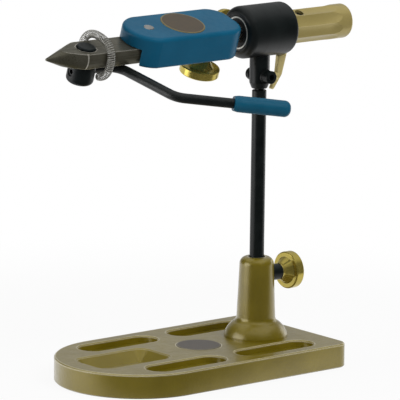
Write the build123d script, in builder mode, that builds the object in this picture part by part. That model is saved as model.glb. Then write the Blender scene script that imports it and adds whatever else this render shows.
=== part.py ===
# Fly tying vise: pedestal base, clamped stem, tilting rotary housing and spring-jaw head
# Sizes are in millimetres; the origin is on the stem axis at the underside of the base
# X runs from the jaws to the rear handle, Y away from the user and Z up
import math
import os

from build123d import *

os.makedirs("parts", exist_ok=True)

# Shared fits
SLIDE_CLEARANCE = 0.05
SEAT_CLEARANCE = 0.01
FACE_GAP = 0.25
CUT_MARGIN = 2.0

# Base plate
BASE_WIDTH = 106.6
BASE_THICKNESS = 15.8
BASE_REAR_X = 35.8
BASE_FRONT_CENTRE_X = -100.0
BASE_CORNER_RADIUS = 8.0
BASE_TOP_BEVEL = 0.8
BASE_FOOT_BEVEL = 0.8
POCKET_LENGTH = 61.0
POCKET_WIDTH = 20.0
POCKET_DEPTH = 4.6
POCKET_SIDE_Y = 35.2
POCKET_FRONT_X = -87.5
POCKET_REAR_X = -13.5
HOPPER_X = -111.0
HOPPER_LENGTH = 58.0
HOPPER_WIDTH = 34.5
HOPPER_CORNER_RADIUS = 8.0
HOPPER_DEPTH = 7.5
HOPPER_TAPER_ANGLE = 42.0

# Round inlays of the base and the head
DISC_RADIUS = 14.7
DISC_THICKNESS = 1.2
DISC_RECESS = 0.8
DISC_EDGE = 0.3
BASE_DISC_X = -48.4
HEAD_DISC_X = -67.8

# Stem post
POST_FLANGE_RADIUS = 20.9
POST_FLANGE_EDGE = 1.4
POST_DOME_RADIUS = 18.7
POST_DOME_RISE = 6.0
POST_COVE_START_RADIUS = 15.4
POST_COVE_START_RISE = 9.4
POST_COVE_RADIUS = 13.4
POST_COVE_RISE = 11.2
POST_FOOT_RADIUS = 12.75
POST_FOOT_RISE = 13.7
POST_TOP_RADIUS = 11.1
POST_HEIGHT = 53.2
POST_TOP_ROUNDING = 4.8
POST_FLOOR = 1.5
POST_MOUTH_STEP = 0.9
POST_MOUTH_DEPTH = 1.4
POST_SCREW_COUNT = 3
POST_SCREW_CIRCLE_RADIUS = 14.5
POST_SCREW_RADIUS = 2.0
POST_SCREW_REACH = 5.0
POST_SCREW_HEAD_RADIUS = 3.5
POST_SCREW_HEAD_HEIGHT = 4.0
POST_SCREW_SINK = 1.0
SMALL_HEX_RADIUS = 1.7
SMALL_HEX_DEPTH = 2.0

# Stem clamp screw in the post
CLAMP_Z = 56.5
CLAMP_SHANK_RADIUS = 3.0
CLAMP_SPOTFACE_X = 11.0
CLAMP_SPOTFACE_RADIUS = 5.9
CLAMP_COLLAR_RADIUS = 5.3
CLAMP_COLLAR_END_X = 18.7
CLAMP_SPIGOT_RADIUS = 2.5
CLAMP_SPIGOT_LENGTH = 7.0

# Thumb knobs
KNOB_ROUNDING = 0.9
POST_KNOB_HUB_RADIUS = 5.6
POST_KNOB_NECK = 2.0
POST_KNOB_FLARE_RADIUS = 9.0
POST_KNOB_HUB_LENGTH = 6.3
POST_KNOB_RIM_RADIUS = 12.3
POST_KNOB_RIM_LENGTH = 6.1
BRAKE_KNOB_HUB_RADIUS = 5.0
BRAKE_KNOB_NECK = 6.0
BRAKE_KNOB_FLARE_RADIUS = 7.5
BRAKE_KNOB_HUB_LENGTH = 10.5
BRAKE_KNOB_RIM_RADIUS = 10.7
BRAKE_KNOB_RIM_LENGTH = 4.5
HEAD_KNOB_HUB_RADIUS = 5.0
HEAD_KNOB_NECK = 6.5
HEAD_KNOB_FLARE_RADIUS = 8.6
HEAD_KNOB_HUB_LENGTH = 11.1
HEAD_KNOB_RIM_RADIUS = 13.0
HEAD_KNOB_RIM_LENGTH = 5.6

# Stem and tilt joint
STEM_RADIUS = 9.525 / 2
STEM_FOOT_Z = 24.0
STEM_TOP_BEVEL = 0.5
ROTARY_AXIS_Z = 219.15
TILT_DROP = 29.7
TILT_BOLT_RADIUS = 2.0
TONGUE_RADIUS = 3.8
TONGUE_THICKNESS = 4.0
TONGUE_NECK_WIDTH = 4.4
TONGUE_SHOULDER_DROP = 9.6
YOKE_RADIUS = 6.6
YOKE_FOOT_RADIUS = 5.1
YOKE_TAPER_HEIGHT = 3.8
YOKE_FOOT_DROP = 8.4
YOKE_POCKET_LENGTH = 8.0
YOKE_POCKET_SIDE_GAP = 0.1
YOKE_POCKET_ROOF = 4.2
YOKE_FLAT_Y = 5.9
YOKE_SPIGOT_RADIUS = 4.0
YOKE_SPIGOT_REACH = 6.17
YOKE_EDGE_ROUNDING = 0.6
TILT_WASHER_RADIUS = 4.6
TILT_WASHER_THICKNESS = 1.4
TILT_HEAD_RADIUS = 4.25
TILT_HEAD_HEIGHT = 5.2
TILT_HEX_RADIUS = 2.3
TILT_HEX_DEPTH = 3.0
TILT_NUT_RADIUS = 3.9
TILT_NUT_HEIGHT = 2.8
TILT_NUT_BORE_DEPTH = 2.0
TILT_NUT_ROUNDING = 0.7
TILT_HEAD_ROUNDING = 0.5

# Bearing housing
HOUSING_WALL = 6.06
HOUSING_FRONT_X = -20.2
HOUSING_REAR_X = 19.6
HOUSING_FRONT_ROUNDING = 4.8
HOUSING_REAR_ROUNDING = 2.6
HOUSING_MOUTH_STEP = 1.0
HOUSING_MOUTH_DEPTH = 0.6
HOUSING_MOUTH_BEVEL = 0.3
HOUSING_REAR_LIP = 0.6
HOUSING_WAIST_STEP = 1.5

# Ball bearings
BEARING_OUTER_RADIUS = 22.225 / 2
BEARING_WIDTH = 7.14
BEARING_BALL_SHARE = 0.171
BEARING_LAND_SHARE = 0.3
BEARING_BALL_COUNT = 7
BEARING_SHOULDER_STEP = 0.3
BEARING_EDGE = 0.25
BEARING_SEAL_THICKNESS = 0.5
BEARING_SEAL_INSET = 0.3
BEARING_INNER_GROOVE_GAP = 0.05
BEARING_OUTER_GROOVE_GAP = 0.3

# Rotary brake
BRAKE_X = -6.0
BRAKE_STUD_RADIUS = 3.0
BRAKE_PLUG_SINK = 5.67
BRAKE_SPOTFACE_DEPTH = 0.97
BRAKE_SPOTFACE_RADIUS = 5.8
BRAKE_STUD_SPIGOT = 8.0

# Lock lever
LOCK_AXIS_DROP = 31.5
LOCK_HUB_RADIUS = 2.9
LOCK_STUD_RADIUS = 1.5
LOCK_STUD_END_X = 11.0
LOCK_HUB_END_X = 14.6
LOCK_FOOT_X = 8.8
LOCK_FOOT_DROP = 39.8
LOCK_FOOT_WIDTH = 2.4
LOCK_BEND_X = 13.4
LOCK_BEND_DROP = 30.7
LOCK_BEND_WIDTH = 4.6
LOCK_SHOULDER_X = 14.8
LOCK_TOP_X = 22.7
LOCK_TOP_DROP = 14.6
LOCK_HOUSING_GAP = 0.5
LOCK_THICKNESS = 3.4
LOCK_CORNER_ROUNDING = 0.9
LOCK_EDGE = 0.5

# Rotary shaft, spacer and handle
SHAFT_FRONT_X = -61.0
SHAFT_REAR_X = 54.0
SPACER_FRONT_X = -25.8
HANDLE_RADIUS = 11.35
HANDLE_FRONT_X = 20.1
HANDLE_REAR_X = 71.2
HANDLE_FRONT_ROUNDING = 0.8
HANDLE_REAR_ROUNDING = 2.2
HANDLE_SCALLOPS = 9
HANDLE_SCALLOP_ROLL = 25.5
HANDLE_SCALLOP_RADIUS = 16.0
HANDLE_SCALLOP_DEPTH = 1.25
HANDLE_SCALLOP_END_X = 52.0
HANDLE_RUNOUT_RADIUS = 22.2
HANDLE_RUNOUT_ANGLE = 40.0
HANDLE_SCREW_X = 29.6
HANDLE_SCREW_RADIUS = 3.1
HANDLE_SCREW_LENGTH = 3.6

# Head, rolled about the rotary axis towards the user
HEAD_ROLL = 17.5
HEAD_HALF_WIDTH = 18.0
HEAD_NOSE_RADIUS = 18.3
HEAD_FRONT_CENTRE_X = -93.8
HEAD_REAR_X = -26.3
HEAD_REAR_CORNER = 13.0
HEAD_BOTTOM = -9.3
HEAD_TOP = 11.5
HEAD_TOP_ROUNDING = 2.7
HEAD_BOTTOM_ROUNDING = 1.5
JAW_SLOT_REAR_X = -67.0
JAW_SLOT_HALF_WIDTH = 11.9
JAW_SLOT_ROOF_GAP = 0.4
SHAFT_BORE_END_X = -62.0
HEAD_SCREW_X = -44.8
HEAD_SCREW_RADIUS = 3.0
HEAD_SCREW_SPIGOT = 9.0
HEAD_KNOB_TOP = -9.6

# Jaws, jaw pin and jaw spring
JAW_AXIS_HEIGHT = -3.1
JAW_RADIUS = 10.8
JAW_HALF_HEIGHT = 5.1
JAW_TIP_X = -174.3
JAW_TIP_RADIUS = 0.8
JAW_CONE_END_X = -148.7
JAW_TAIL_X = -70.0
JAW_FACE_GAP = 0.1
JAW_TAIL_RELIEF = 1.2
JAW_PIN_X = -95.5
JAW_PIN_RADIUS = 3.5
JAW_PIN_PROUD = 0.3
JAW_PIN_FLANGE_RADIUS = 5.0
JAW_PIN_FLANGE_TOP = -8.5
JAW_PIN_FLANGE_HEIGHT = 0.9
JAW_PIN_EDGE = 0.4
JAW_SPRING_X = -76.5
JAW_SPRING_RADIUS = 2.4
JAW_SPRING_WIRE = 0.4
JAW_SPRING_TURNS = 5
JAW_SPRING_SEAT_RADIUS = 3.2
JAW_SPRING_SEAT_DEPTH = 5.2
JAW_SPRING_END_GAP = 0.3

# Cam, hub and jaw lever
CAM_X = -143.8
CAM_RADIUS = 5.6
CAM_FLAT = 3.6
CAM_TOP = 3.5
CAM_FLAT_TOP = -0.6
CAM_BUTTON_RADIUS = 6.2
CAM_BUTTON_ROUNDING = 1.2
CAM_BUTTON_GAP = 0.5
CAM_SLOT_HALF_WIDTH = 3.85
CAM_SLOT_HALF_LENGTH = 6.2
CAM_SPIGOT_RADIUS = 3.4
CAM_SPIGOT_END = -18.0
HUB_RADIUS = 8.9
HUB_TOP = -8.6
HUB_BOTTOM = -21.8
HUB_ROUNDING = 3.0
HUB_TOP_ROUNDING = 0.5
HUB_SCREW_HEIGHT = -13.8
HUB_SCREW_RADIUS = 2.9
HUB_SCREW_SINK = 0.9
LEVER_HEIGHT = -13.5
LEVER_RADIUS = 3.2
LEVER_ROOT_INSET = 5.0
LEVER_BEND_X = -115.8
LEVER_KNEE_X = -104.5
LEVER_KNEE_Y = -49.3
LEVER_END_X = -37.1
LEVER_END_Y = -82.4
LEVER_BEND_RADIUS = 12.0
GRIP_LENGTH = 37.6
GRIP_RADIUS = 5.3
GRIP_MOUTH_RADIUS = 4.7
GRIP_MOUTH_LENGTH = 3.0
GRIP_END_ROUNDING = 4.0
GRIP_ROD_STOP = 5.0

# Material spring round the jaws
RING_X = -134.3
RING_CENTRE_HEIGHT = -4.1
RING_YAW = 5.0
RING_ACROSS = 13.8
RING_UP = 12.95
RING_SQUARENESS = 2.4
RING_COIL_RADIUS = 2.4
RING_WIRE = 0.3
RING_TURNS = 52
RING_NEAR_END_ANGLE = 25.0
RING_FAR_END_ANGLE = 45.0
POINTS_PER_TURN = 24

# Derived places
roll_sin = math.sin(math.radians(HEAD_ROLL))
roll_cos = math.cos(math.radians(HEAD_ROLL))
tilt_z = ROTARY_AXIS_Z - TILT_DROP
lock_z = ROTARY_AXIS_Z - LOCK_AXIS_DROP
post_top_z = BASE_THICKNESS + POST_HEIGHT
housing_radius = BEARING_OUTER_RADIUS + HOUSING_WALL
bearing_section = BEARING_OUTER_RADIUS - STEM_RADIUS
bearing_pitch_radius = STEM_RADIUS + bearing_section / 2
bearing_ball_radius = BEARING_BALL_SHARE * BEARING_OUTER_RADIUS
bearing_inner_land_radius = STEM_RADIUS + BEARING_LAND_SHARE * bearing_section
bearing_outer_land_radius = BEARING_OUTER_RADIUS - BEARING_LAND_SHARE * bearing_section
bearing_shoulder_radius = bearing_inner_land_radius - BEARING_SHOULDER_STEP
front_bearing_x = HOUSING_FRONT_X + HOUSING_MOUTH_DEPTH
rear_bearing_x = HOUSING_REAR_X - HOUSING_REAR_LIP - BEARING_WIDTH
brake_plug_end = housing_radius - BRAKE_PLUG_SINK
brake_seat = housing_radius - BRAKE_SPOTFACE_DEPTH
yoke_spigot_top_z = ROTARY_AXIS_Z - housing_radius + YOKE_SPIGOT_REACH
jaw_top = JAW_AXIS_HEIGHT + JAW_HALF_HEIGHT
jaw_bottom = JAW_AXIS_HEIGHT - JAW_HALF_HEIGHT

axial_plane = Plane(origin=(0, 0, ROTARY_AXIS_Z), x_dir=(0, 1, 0), z_dir=(1, 0, 0))
head_plane = Plane(origin=(0, 0, ROTARY_AXIS_Z), x_dir=(1, 0, 0), z_dir=(0, -roll_sin, roll_cos))
tilt_plane = Plane(origin=(0, 0, tilt_z), x_dir=(1, 0, 0), z_dir=(0, -1, 0))
brake_plane = Plane(origin=(BRAKE_X, 0, ROTARY_AXIS_Z), x_dir=(1, 0, 0), z_dir=(0, 1, 0))
clamp_plane = Plane(origin=(0, 0, CLAMP_Z), x_dir=(0, 1, 0), z_dir=(1, 0, 0))
lock_plane = Plane(origin=(0, 0, lock_z), x_dir=(0, 1, 0), z_dir=(1, 0, 0))
RISE = (Align.CENTER, Align.CENTER, Align.MIN)


def head_point(x, y, z):
    """Point given along, across and above the rolled head."""
    return head_plane.from_local_coords(Vector(x, y, z))


def head_direction(x, y, z):
    """Direction given along, across and above the rolled head."""
    return head_point(x, y, z) - head_point(0, 0, 0)


def user_direction(roll):
    """Direction across the rotary axis, turned up by the roll from the user's side."""
    return Vector(0, -math.cos(math.radians(roll)), math.sin(math.radians(roll)))


def spin_plane(plane):
    """Plane through the axis of a turned piece: its X is radial and its Y is axial."""
    return Plane(origin=plane.origin, x_dir=plane.x_dir, z_dir=-plane.y_dir)


def disc_inlay(plane):
    """Bare round inlay with a bevelled edge, standing on the floor of its recess."""
    with BuildPart(plane) as inlay:
        Cylinder(DISC_RADIUS, DISC_THICKNESS, align=RISE)
        chamfer(inlay.faces().sort_by(Axis(plane.origin, plane.z_dir))[-1].edges(), DISC_EDGE)
    return inlay.part


def thumb_knob(plane, hub_radius, neck, flare_radius, hub_length, rim_radius, rim_length, bore, bore_depth):
    """Turned thumb knob: round hub, flared shoulder and a broad rim at the far end."""
    with BuildPart() as knob:
        with BuildSketch(spin_plane(plane)):
            with BuildLine():
                Polyline(
                    (0, 0),
                    (hub_radius, 0),
                    (hub_radius, neck),
                    (flare_radius, hub_length),
                    (rim_radius, hub_length),
                    (rim_radius, hub_length + rim_length),
                    (0, hub_length + rim_length),
                    close=True,
                )
            make_face()
        revolve(axis=Axis(plane.origin, plane.z_dir))
        rim_edges = knob.edges().filter_by(GeomType.CIRCLE).sort_by(SortBy.RADIUS)[-2:]
        fillet(rim_edges, KNOB_ROUNDING)
        with BuildSketch(plane):
            Circle(bore)
        extrude(amount=bore_depth, mode=Mode.SUBTRACT)
    return knob.part


def set_screw(plane, radius, length):
    """Headless screw with a hexagon socket, its point on the plane and its socket at the far end."""
    with BuildPart(plane) as screw:
        Cylinder(radius, length, align=RISE)
        with BuildSketch(plane.offset(length)):
            RegularPolygon(SMALL_HEX_RADIUS, 6)
        extrude(amount=-SMALL_HEX_DEPTH, mode=Mode.SUBTRACT)
    return screw.part


def biarc(start, start_direction, end, end_direction):
    """Two arcs that leave one point and reach another along the given unit directions."""
    span = end - start
    both = start_direction + end_direction
    square = both.dot(both) - 4
    linear = span.dot(both)
    reach = (linear - math.sqrt(linear * linear - square * span.dot(span))) / square
    first = start + start_direction * reach
    last = end - end_direction * reach
    middle = (first + last) * 0.5
    TangentArc(start, middle, tangent=start_direction)
    TangentArc(middle, end, tangent=last - first)


def wound_wire(curve, turns, wire_radius):
    """Round wire swept along half-turn biarcs of a coil, with a straight run at each end."""
    with BuildPart() as wire:
        with BuildLine() as route:
            knots = [curve(step / 2) for step in range(2 * turns + 1)]
            first_point, first_direction = knots[0]
            last_point, last_direction = knots[-1]
            Line(first_point - first_direction * (2 * wire_radius), first_point)
            for before, after in zip(knots, knots[1:]):
                biarc(*before, *after)
            Line(last_point, last_point + last_direction * (2 * wire_radius))
        with BuildSketch(Plane(origin=route.line @ 0, z_dir=route.line % 0)):
            Circle(wire_radius)
        sweep(path=route.line)
    return wire.part


def least_gap(curve, turns, wire_radius):
    """Smallest free distance between turns, measured on points of the centre line."""
    points = [curve(step / POINTS_PER_TURN)[0] for step in range(turns * POINTS_PER_TURN + 1)]
    nearest = math.inf
    for index, point in enumerate(points):
        for other in points[index + POINTS_PER_TURN // 2:index + 2 * POINTS_PER_TURN]:
            nearest = min(nearest, (point - other).length)
    return nearest - 2 * wire_radius


def ring_curve(turn):
    """Point and direction on the material spring after a number of turns."""
    sweep_angle = math.radians(360 - RING_NEAR_END_ANGLE - RING_FAR_END_ANGLE)
    rate = sweep_angle / RING_TURNS
    round_angle = math.radians(RING_NEAR_END_ANGLE) + rate * turn
    coil_angle = 2 * math.pi * turn
    yaw = math.radians(RING_YAW)
    across = head_direction(-math.sin(yaw), math.cos(yaw), 0)
    along = head_direction(math.cos(yaw), math.sin(yaw), 0)
    outward = across * -math.sin(round_angle) - head_plane.z_dir * math.cos(round_angle)
    forward = across * -math.cos(round_angle) + head_plane.z_dir * math.sin(round_angle)
    side_share = abs(math.sin(round_angle)) / RING_ACROSS
    up_share = abs(math.cos(round_angle)) / RING_UP
    ring_radius = (side_share**RING_SQUARENESS + up_share**RING_SQUARENESS) ** (-1 / RING_SQUARENESS)
    reach = ring_radius + RING_COIL_RADIUS * math.cos(coil_angle)
    centre = head_point(RING_X, 0, RING_CENTRE_HEIGHT)
    point = centre + outward * reach + along * (RING_COIL_RADIUS * math.sin(coil_angle))
    spin = along * math.cos(coil_angle) - outward * math.sin(coil_angle)
    direction = forward * (reach * rate) + spin * (2 * math.pi * RING_COIL_RADIUS)
    return point, direction.normalized()


def jaw_spring_curve(turn):
    """Point and direction on the jaw spring after a number of turns."""
    half_length = JAW_SPRING_SEAT_DEPTH - JAW_SPRING_END_GAP - 3 * JAW_SPRING_WIRE
    pitch = 2 * half_length / JAW_SPRING_TURNS
    coil_angle = 2 * math.pi * turn
    across = JAW_SPRING_RADIUS * math.cos(coil_angle)
    above = JAW_SPRING_RADIUS * math.sin(coil_angle)
    point = head_point(JAW_SPRING_X + across, pitch * turn - half_length, JAW_AXIS_HEIGHT + above)
    direction = head_direction(-2 * math.pi * above, pitch, 2 * math.pi * across)
    return point, direction.normalized()


# Base plate
with BuildPart() as base_plate:
    with BuildSketch():
        with Locations((BASE_FRONT_CENTRE_X, 0)):
            Circle(BASE_WIDTH / 2)
        with Locations((BASE_REAR_X, 0)):
            Rectangle(BASE_REAR_X - BASE_FRONT_CENTRE_X, BASE_WIDTH, align=(Align.MAX, Align.CENTER))
    extrude(amount=BASE_THICKNESS)
    fillet(base_plate.edges().filter_by(Axis.Z).group_by(Axis.X)[-1], BASE_CORNER_RADIUS)
    chamfer(base_plate.faces().sort_by(Axis.Z)[0].edges(), BASE_FOOT_BEVEL)
    with BuildSketch(Plane.XY.offset(BASE_THICKNESS)):
        for pocket_x in (POCKET_FRONT_X, POCKET_REAR_X):
            with Locations((pocket_x, POCKET_SIDE_Y), (pocket_x, -POCKET_SIDE_Y)):
                SlotOverall(POCKET_LENGTH, POCKET_WIDTH)
    extrude(amount=-POCKET_DEPTH, mode=Mode.SUBTRACT)
    with BuildSketch(Plane.XY.offset(BASE_THICKNESS)):
        with Locations((HOPPER_X, 0)):
            RectangleRounded(HOPPER_LENGTH, HOPPER_WIDTH, HOPPER_CORNER_RADIUS)
    extrude(amount=-HOPPER_DEPTH, taper=HOPPER_TAPER_ANGLE, mode=Mode.SUBTRACT)
    chamfer(base_plate.faces().sort_by(Axis.Z)[-1].edges(), BASE_TOP_BEVEL)
    with BuildSketch(Plane.XY.offset(BASE_THICKNESS)):
        with Locations((BASE_DISC_X, 0)):
            Circle(DISC_RADIUS + SLIDE_CLEARANCE)
    extrude(amount=-DISC_RECESS, mode=Mode.SUBTRACT)
    with BuildSketch():
        with PolarLocations(POST_SCREW_CIRCLE_RADIUS, POST_SCREW_COUNT):
            Circle(POST_SCREW_RADIUS + SLIDE_CLEARANCE)
    extrude(amount=BASE_THICKNESS, mode=Mode.SUBTRACT)
    with BuildSketch():
        with PolarLocations(POST_SCREW_CIRCLE_RADIUS, POST_SCREW_COUNT):
            Circle(POST_SCREW_HEAD_RADIUS + SLIDE_CLEARANCE)
    extrude(amount=POST_SCREW_SINK + POST_SCREW_HEAD_HEIGHT, mode=Mode.SUBTRACT)

base_disc = disc_inlay(Plane(origin=(BASE_DISC_X, 0, BASE_THICKNESS - DISC_RECESS)))

# Stem post
with BuildPart() as stem_post:
    with BuildSketch(Plane.XZ):
        with BuildLine():
            Polyline(
                (0, BASE_THICKNESS),
                (POST_FLANGE_RADIUS, BASE_THICKNESS),
                (POST_FLANGE_RADIUS, BASE_THICKNESS + POST_FLANGE_EDGE),
            )
            ThreePointArc(
                (POST_FLANGE_RADIUS, BASE_THICKNESS + POST_FLANGE_EDGE),
                (POST_DOME_RADIUS, BASE_THICKNESS + POST_DOME_RISE),
                (POST_COVE_START_RADIUS, BASE_THICKNESS + POST_COVE_START_RISE),
            )
            ThreePointArc(
                (POST_COVE_START_RADIUS, BASE_THICKNESS + POST_COVE_START_RISE),
                (POST_COVE_RADIUS, BASE_THICKNESS + POST_COVE_RISE),
                (POST_FOOT_RADIUS, BASE_THICKNESS + POST_FOOT_RISE),
            )
            Polyline(
                (POST_FOOT_RADIUS, BASE_THICKNESS + POST_FOOT_RISE),
                (POST_TOP_RADIUS, post_top_z),
                (0, post_top_z),
                (0, BASE_THICKNESS),
            )
        make_face()
    revolve(axis=Axis.Z)
    fillet(stem_post.faces().sort_by(Axis.Z)[-1].edges(), POST_TOP_ROUNDING)
    with BuildSketch(Plane.XY.offset(BASE_THICKNESS + POST_FLOOR)):
        Circle(STEM_RADIUS + SLIDE_CLEARANCE)
    extrude(amount=POST_HEIGHT, mode=Mode.SUBTRACT)
    with BuildSketch(Plane.XY.offset(post_top_z)):
        Circle(STEM_RADIUS + POST_MOUTH_STEP)
    extrude(amount=-POST_MOUTH_DEPTH, mode=Mode.SUBTRACT)
    with BuildSketch(Plane.XY.offset(BASE_THICKNESS)):
        with PolarLocations(POST_SCREW_CIRCLE_RADIUS, POST_SCREW_COUNT):
            Circle(POST_SCREW_RADIUS + SLIDE_CLEARANCE)
    extrude(amount=POST_SCREW_REACH + SLIDE_CLEARANCE, mode=Mode.SUBTRACT)
    with BuildSketch(clamp_plane):
        Circle(CLAMP_SHANK_RADIUS + SLIDE_CLEARANCE)
    extrude(amount=POST_FLANGE_RADIUS, mode=Mode.SUBTRACT)
    with BuildSketch(clamp_plane.offset(CLAMP_SPOTFACE_X)):
        Circle(CLAMP_SPOTFACE_RADIUS)
    extrude(amount=POST_FLANGE_RADIUS, mode=Mode.SUBTRACT)

# Screws from under the base into the post
with BuildPart(Plane.XY.offset(POST_SCREW_SINK)) as post_screws:
    with PolarLocations(POST_SCREW_CIRCLE_RADIUS, POST_SCREW_COUNT):
        Cylinder(POST_SCREW_HEAD_RADIUS, POST_SCREW_HEAD_HEIGHT, align=RISE)
        Cylinder(POST_SCREW_RADIUS, BASE_THICKNESS - POST_SCREW_SINK + POST_SCREW_REACH, align=RISE)
    with BuildSketch(Plane.XY.offset(POST_SCREW_SINK)):
        with PolarLocations(POST_SCREW_CIRCLE_RADIUS, POST_SCREW_COUNT):
            RegularPolygon(SMALL_HEX_RADIUS, 6)
    extrude(amount=SMALL_HEX_DEPTH, mode=Mode.SUBTRACT)

# Stem clamp screw
with BuildPart(clamp_plane) as clamp_stud:
    with Locations((0, 0, STEM_RADIUS + SLIDE_CLEARANCE)):
        Cylinder(CLAMP_SHANK_RADIUS, CLAMP_COLLAR_END_X - STEM_RADIUS - SLIDE_CLEARANCE, align=RISE)
    with Locations((0, 0, CLAMP_SPOTFACE_X + FACE_GAP)):
        Cylinder(CLAMP_COLLAR_RADIUS, CLAMP_COLLAR_END_X - CLAMP_SPOTFACE_X - FACE_GAP, align=RISE)
    with Locations((0, 0, CLAMP_COLLAR_END_X)):
        Cylinder(CLAMP_SPIGOT_RADIUS, CLAMP_SPIGOT_LENGTH, align=RISE)

clamp_knob = thumb_knob(
    clamp_plane.offset(CLAMP_COLLAR_END_X),
    POST_KNOB_HUB_RADIUS,
    POST_KNOB_NECK,
    POST_KNOB_FLARE_RADIUS,
    POST_KNOB_HUB_LENGTH,
    POST_KNOB_RIM_RADIUS,
    POST_KNOB_RIM_LENGTH,
    CLAMP_SPIGOT_RADIUS + SEAT_CLEARANCE,
    CLAMP_SPIGOT_LENGTH + SEAT_CLEARANCE,
)

# Stem with its tongue
with BuildPart() as stem:
    with Locations((0, 0, STEM_FOOT_Z)):
        Cylinder(STEM_RADIUS, tilt_z - TONGUE_SHOULDER_DROP - STEM_FOOT_Z, align=RISE)
    chamfer(stem.edges().filter_by(GeomType.CIRCLE), STEM_TOP_BEVEL)
    with BuildSketch(tilt_plane):
        Circle(TONGUE_RADIUS)
        Rectangle(TONGUE_NECK_WIDTH, TONGUE_SHOULDER_DROP, align=(Align.CENTER, Align.MAX))
        Circle(TILT_BOLT_RADIUS + SLIDE_CLEARANCE, mode=Mode.SUBTRACT)
    extrude(amount=TONGUE_THICKNESS / 2, both=True)

# Yoke under the housing
with BuildPart() as yoke:
    with BuildSketch(Plane.XZ):
        with BuildLine():
            Polyline(
                (0, tilt_z - YOKE_FOOT_DROP),
                (YOKE_FOOT_RADIUS, tilt_z - YOKE_FOOT_DROP),
                (YOKE_RADIUS, tilt_z - YOKE_FOOT_DROP + YOKE_TAPER_HEIGHT),
                (YOKE_RADIUS, yoke_spigot_top_z),
                (0, yoke_spigot_top_z),
                close=True,
            )
        make_face()
    revolve(axis=Axis.Z)
    fillet(yoke.faces().sort_by(Axis.Z)[0].edges(), YOKE_EDGE_ROUNDING)
    with BuildSketch(axial_plane):
        Circle(housing_radius + SEAT_CLEARANCE)
    extrude(amount=housing_radius, both=True, mode=Mode.SUBTRACT)
    with Locations((0, 0, tilt_z)):
        Cylinder(YOKE_SPIGOT_RADIUS, yoke_spigot_top_z - tilt_z, align=RISE)
    with Locations((0, 0, tilt_z + YOKE_POCKET_ROOF)):
        Box(
            YOKE_POCKET_LENGTH,
            TONGUE_THICKNESS + 2 * YOKE_POCKET_SIDE_GAP,
            YOKE_POCKET_ROOF + YOKE_FOOT_DROP,
            align=(Align.CENTER, Align.CENTER, Align.MAX),
            mode=Mode.SUBTRACT,
        )
    with BuildSketch(tilt_plane):
        Circle(TILT_BOLT_RADIUS + SLIDE_CLEARANCE)
    extrude(amount=YOKE_RADIUS, both=True, mode=Mode.SUBTRACT)
    for side_plane in (tilt_plane.offset(YOKE_FLAT_Y), tilt_plane.offset(-YOKE_FLAT_Y - YOKE_RADIUS)):
        with BuildSketch(side_plane):
            Circle(TILT_WASHER_RADIUS + FACE_GAP)
        extrude(amount=YOKE_RADIUS, mode=Mode.SUBTRACT)
    with BuildSketch(lock_plane):
        Circle(LOCK_STUD_RADIUS + SLIDE_CLEARANCE)
    extrude(amount=YOKE_RADIUS + CUT_MARGIN, mode=Mode.SUBTRACT)

# Tilt bolt, washers and nut
with BuildPart(tilt_plane) as tilt_bolt:
    with Locations((0, 0, -YOKE_FLAT_Y - TILT_WASHER_THICKNESS - TILT_NUT_BORE_DEPTH)):
        Cylinder(
            TILT_BOLT_RADIUS,
            2 * (YOKE_FLAT_Y + TILT_WASHER_THICKNESS) + TILT_NUT_BORE_DEPTH,
            align=RISE,
        )
    with Locations((0, 0, YOKE_FLAT_Y + TILT_WASHER_THICKNESS)):
        Cylinder(TILT_HEAD_RADIUS, TILT_HEAD_HEIGHT, align=RISE)
    fillet(tilt_bolt.edges().filter_by(GeomType.CIRCLE).sort_by(Axis.Y)[0], TILT_HEAD_ROUNDING)
    with BuildSketch(tilt_plane.offset(YOKE_FLAT_Y + TILT_WASHER_THICKNESS + TILT_HEAD_HEIGHT)):
        RegularPolygon(TILT_HEX_RADIUS, 6)
    extrude(amount=-TILT_HEX_DEPTH, mode=Mode.SUBTRACT)

with BuildPart(tilt_plane) as tilt_washers:
    with Locations((0, 0, YOKE_FLAT_Y), (0, 0, -YOKE_FLAT_Y - TILT_WASHER_THICKNESS)):
        Cylinder(TILT_WASHER_RADIUS, TILT_WASHER_THICKNESS, align=RISE)
        Cylinder(
            TILT_BOLT_RADIUS + SLIDE_CLEARANCE,
            TILT_WASHER_THICKNESS,
            align=RISE,
            mode=Mode.SUBTRACT,
        )

with BuildPart(tilt_plane) as tilt_nut:
    with Locations((0, 0, -YOKE_FLAT_Y - TILT_WASHER_THICKNESS - TILT_NUT_HEIGHT)):
        Cylinder(TILT_NUT_RADIUS, TILT_NUT_HEIGHT, align=RISE)
    fillet(tilt_nut.edges().filter_by(GeomType.CIRCLE).sort_by(Axis.Y)[-1], TILT_NUT_ROUNDING)
    with Locations((0, 0, -YOKE_FLAT_Y - TILT_WASHER_THICKNESS - TILT_NUT_BORE_DEPTH)):
        Cylinder(TILT_BOLT_RADIUS + SEAT_CLEARANCE, TILT_NUT_BORE_DEPTH, align=RISE, mode=Mode.SUBTRACT)

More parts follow.
